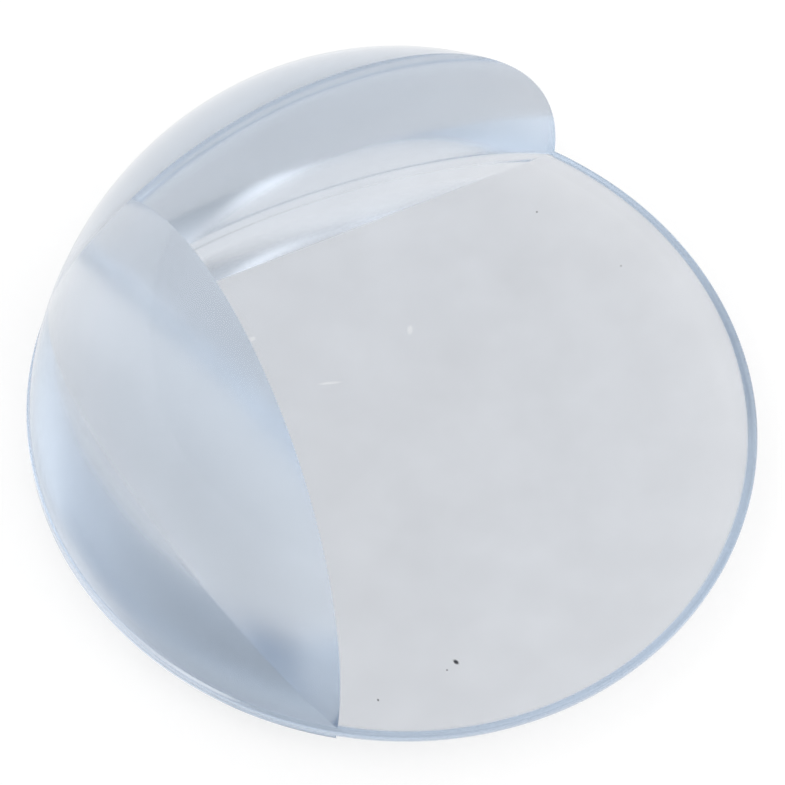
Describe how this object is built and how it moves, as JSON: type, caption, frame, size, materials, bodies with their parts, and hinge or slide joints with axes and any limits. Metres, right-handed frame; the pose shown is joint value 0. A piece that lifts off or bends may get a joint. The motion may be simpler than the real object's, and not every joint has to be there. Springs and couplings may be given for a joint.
{
  "type": "corner guard",
  "caption": "Clear soft cover for a table or cabinet corner: a round plate with a domed wall around two sides of a square notch that the corner fills.",
  "frame": {"origin": "on the plate's centre line, at the level of the flat middle of the plate's outer face, on which it rests", "axes": "+Z along the plate's centre line, from the outer face to the flat face; +X out of the notch, away from the side notch face; -Y out of the notch, away from the back notch face"},
  "size_m": [0.04, 0.04, 0.0212],
  "materials": {
    "clear_pvc": "clear soft PVC with a trace of grey-blue and a smooth moulded gloss"
  },
  "bodies": {
    "root": {"corner_guard": "clear_pvc"}
  },
  "joints": []
}
